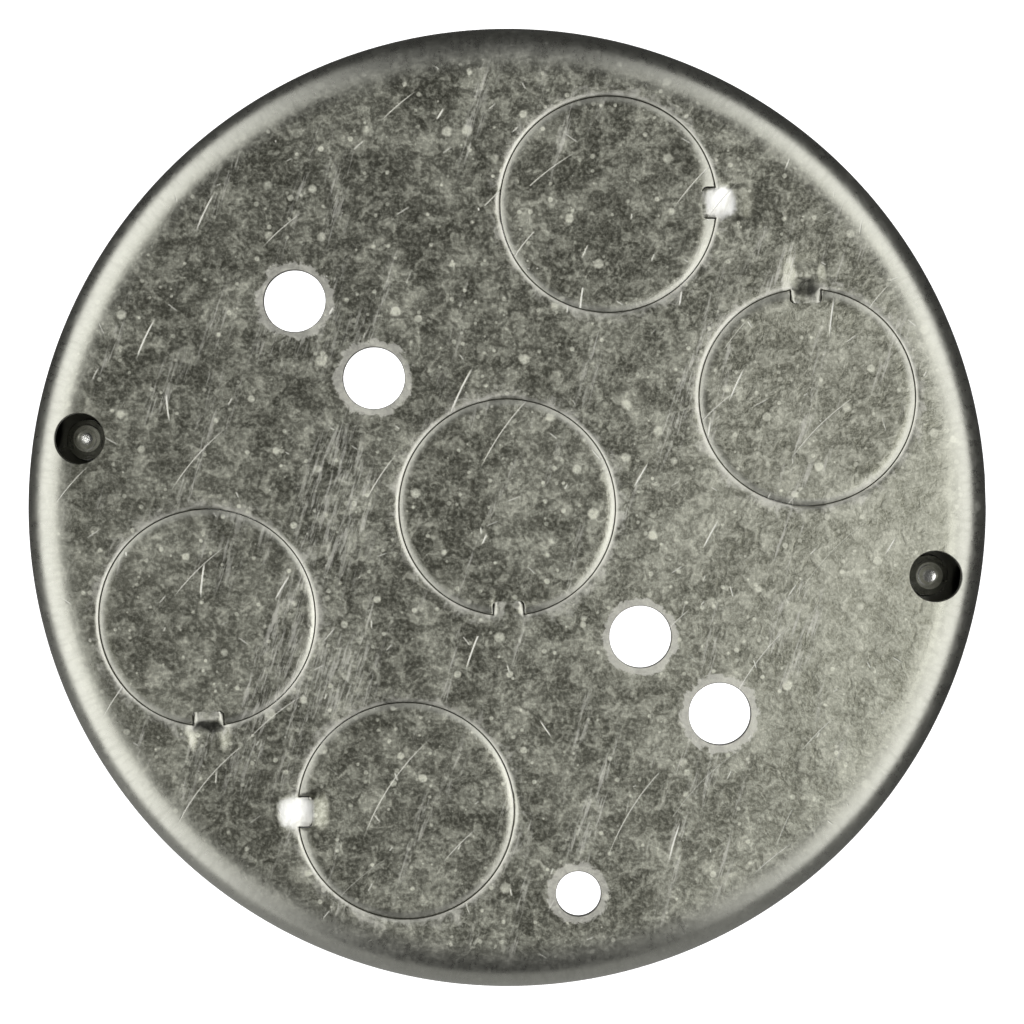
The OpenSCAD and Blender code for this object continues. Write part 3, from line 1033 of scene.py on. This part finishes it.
keep(build_pan(), "pan", "pan", galvanized("galvanized_pan", (0.0, 0.0, 0.0), SCUFFS))
disc_metal = galvanized("galvanized_disc", (37.0, 11.0, 5.0))
for node in KNOCKOUTS:
    keep(build_knockout(node), node, "knockout", disc_metal)
screw_low, screw_high = box_mm(SCREWS[0])
screw_metal = zinc_screw(screw_high[2], screw_low[2] + HEAD_H)
for node in SCREWS:
    keep(build_screw(node), node, "screw", screw_metal)

# ---------------------------------------------------------------- floor, light and camera

# In metres
FLOOR_Z, FLOOR_HALF = -0.9, 30.0
# Brightness of the two soft boxes, and the direction, in degrees, of the brighter low front
BOX_STRENGTH = 1.5
FRONT_AZIMUTH = -105.0
# The lens in millimetres, and the camera's place in metres and its roll in degrees
LENS, CAMERA_AT, CAMERA_ROLL = 171.4, (0.49 * MM, -0.48 * MM, 0.5), -0.85


def pale_floor():
    half = FLOOR_HALF
    mesh = bpy.data.meshes.new("floor")
    mesh.from_pydata([(-half, -half, FLOOR_Z), (half, -half, FLOOR_Z), (half, half, FLOOR_Z),
                      (-half, half, FLOOR_Z)], [], [(0, 1, 2, 3)])
    floor = bpy.data.objects.new("floor", mesh)
    bpy.context.scene.collection.objects.link(floor)
    m = Shader("pale_floor")
    m.put(m.surface.inputs["Base Color"], (0.9, 0.9, 0.9, 1))
    m.put(m.surface.inputs["Roughness"], 0.9)
    m.put(m.surface.inputs["Emission Color"], (1, 1, 1, 1))
    m.put(m.surface.inputs["Emission Strength"], 0.75)
    mesh.materials.append(m.material)
    # the metal mirrors the dark studio below the horizon, not the floor
    floor.visible_glossy = False


pale_floor()


def studio():
    """A world that lights the metal with two soft boxes, and shows itself as plain and pale."""
    world = bpy.data.worlds.new("studio")
    bpy.context.scene.world = world
    world.use_nodes = True
    tree = world.node_tree
    m = Nodes(tree)
    direction = tree.nodes.new("ShaderNodeTexCoord").outputs["Generated"]
    parts = m.node("ShaderNodeSeparateXYZ", Vector=direction)
    x, y, z = parts.outputs
    height = m.math("MULTIPLY", m.math("ARCSINE", z), 180 / math.pi)
    azimuth = m.math("MULTIPLY", m.math("ARCTAN2", y, x), 180 / math.pi)

    def box(middle, half_width, low, low_soft, top, top_soft):
        off = m.math("ABSOLUTE", m.math("WRAP", m.math("SUBTRACT", azimuth, middle), 180.0, -180.0))
        sides = m.fade(off, half_width - 20, half_width + 20, 1.0, 0.0)
        ends = m.math("MULTIPLY", m.fade(height, low, low + low_soft),
                      m.fade(height, top, top + top_soft, 1.0, 0.0))
        return m.math("MULTIPLY", sides, ends)

    right = box(5.0, 61.0, 6.5, 16.0, 60.0, 13.0)
    left = box(176.0, 57.0, -11.0, 22.0, 52.0, 22.0)
    # the room is dim overhead, and low down it is brighter at the front than behind
    from_front = m.math("SUBTRACT", azimuth, FRONT_AZIMUTH)
    off_front = m.math("ABSOLUTE", m.math("WRAP", from_front, 180.0, -180.0))
    under = m.math("ADD", m.fade(height, -78.0, -60.0, 0.20, 0.05),
                   m.fade(off_front, 20.0, 85.0, 0.28, 0.0))
    raised = m.fade(height, 0.0, 20.0)
    base = m.math("ADD", m.math("MULTIPLY", 0.041, raised),
                  m.math("MULTIPLY", under, m.math("SUBTRACT", 1.0, raised)))
    light = m.math("ADD", base, m.math("MULTIPLY", right, BOX_STRENGTH))
    light = m.math("ADD", light, m.math("MULTIPLY", left, BOX_STRENGTH))
    lit = m.node("ShaderNodeBackground", Strength=1.0, Color=m.node(
        "ShaderNodeCombineColor", Red=light, Green=light, Blue=light).outputs[0])
    plain = m.node("ShaderNodeBackground", Strength=1.0, Color=(0.95, 0.95, 0.95, 1))
    path = tree.nodes.new("ShaderNodeLightPath")
    both = tree.nodes.new("ShaderNodeMixShader")
    tree.links.new(path.outputs["Is Camera Ray"], both.inputs[0])
    tree.links.new(lit.outputs[0], both.inputs[1])
    tree.links.new(plain.outputs[0], both.inputs[2])
    out = next(n for n in tree.nodes if n.type == "OUTPUT_WORLD")
    tree.links.new(both.outputs[0], out.inputs[0])


def lamp(name, x, y, z, size, energy):
    """A square soft lamp that faces down, at a place and of a size in millimetres."""
    data = bpy.data.lights.new(name, "AREA")
    data.shape = "SQUARE"
    data.size = size * MM
    data.energy = energy
    made = bpy.data.objects.new(name, data)
    bpy.context.scene.collection.objects.link(made)
    made.location = (x * MM, y * MM, z * MM)
    made.visible_camera = False


studio()
# one brightens the right-hand side of the flat back, and a small one reaches down the left well
lamp("right_lamp", 93, -20, 216, 70, 0.054)
lamp("left_lamp", -130, -45, 350, 35, 0.020)
bpy.context.scene.view_settings.view_transform = "Standard"

camera_data = bpy.data.cameras.new("camera")
camera_data.sensor_width = 36.0
camera_data.lens = LENS
camera_data.clip_end = 100.0
camera = bpy.data.objects.new("camera", camera_data)
bpy.context.scene.collection.objects.link(camera)
camera.location = CAMERA_AT
camera.rotation_euler = (0.0, 0.0, math.radians(CAMERA_ROLL))
bpy.context.scene.camera = camera
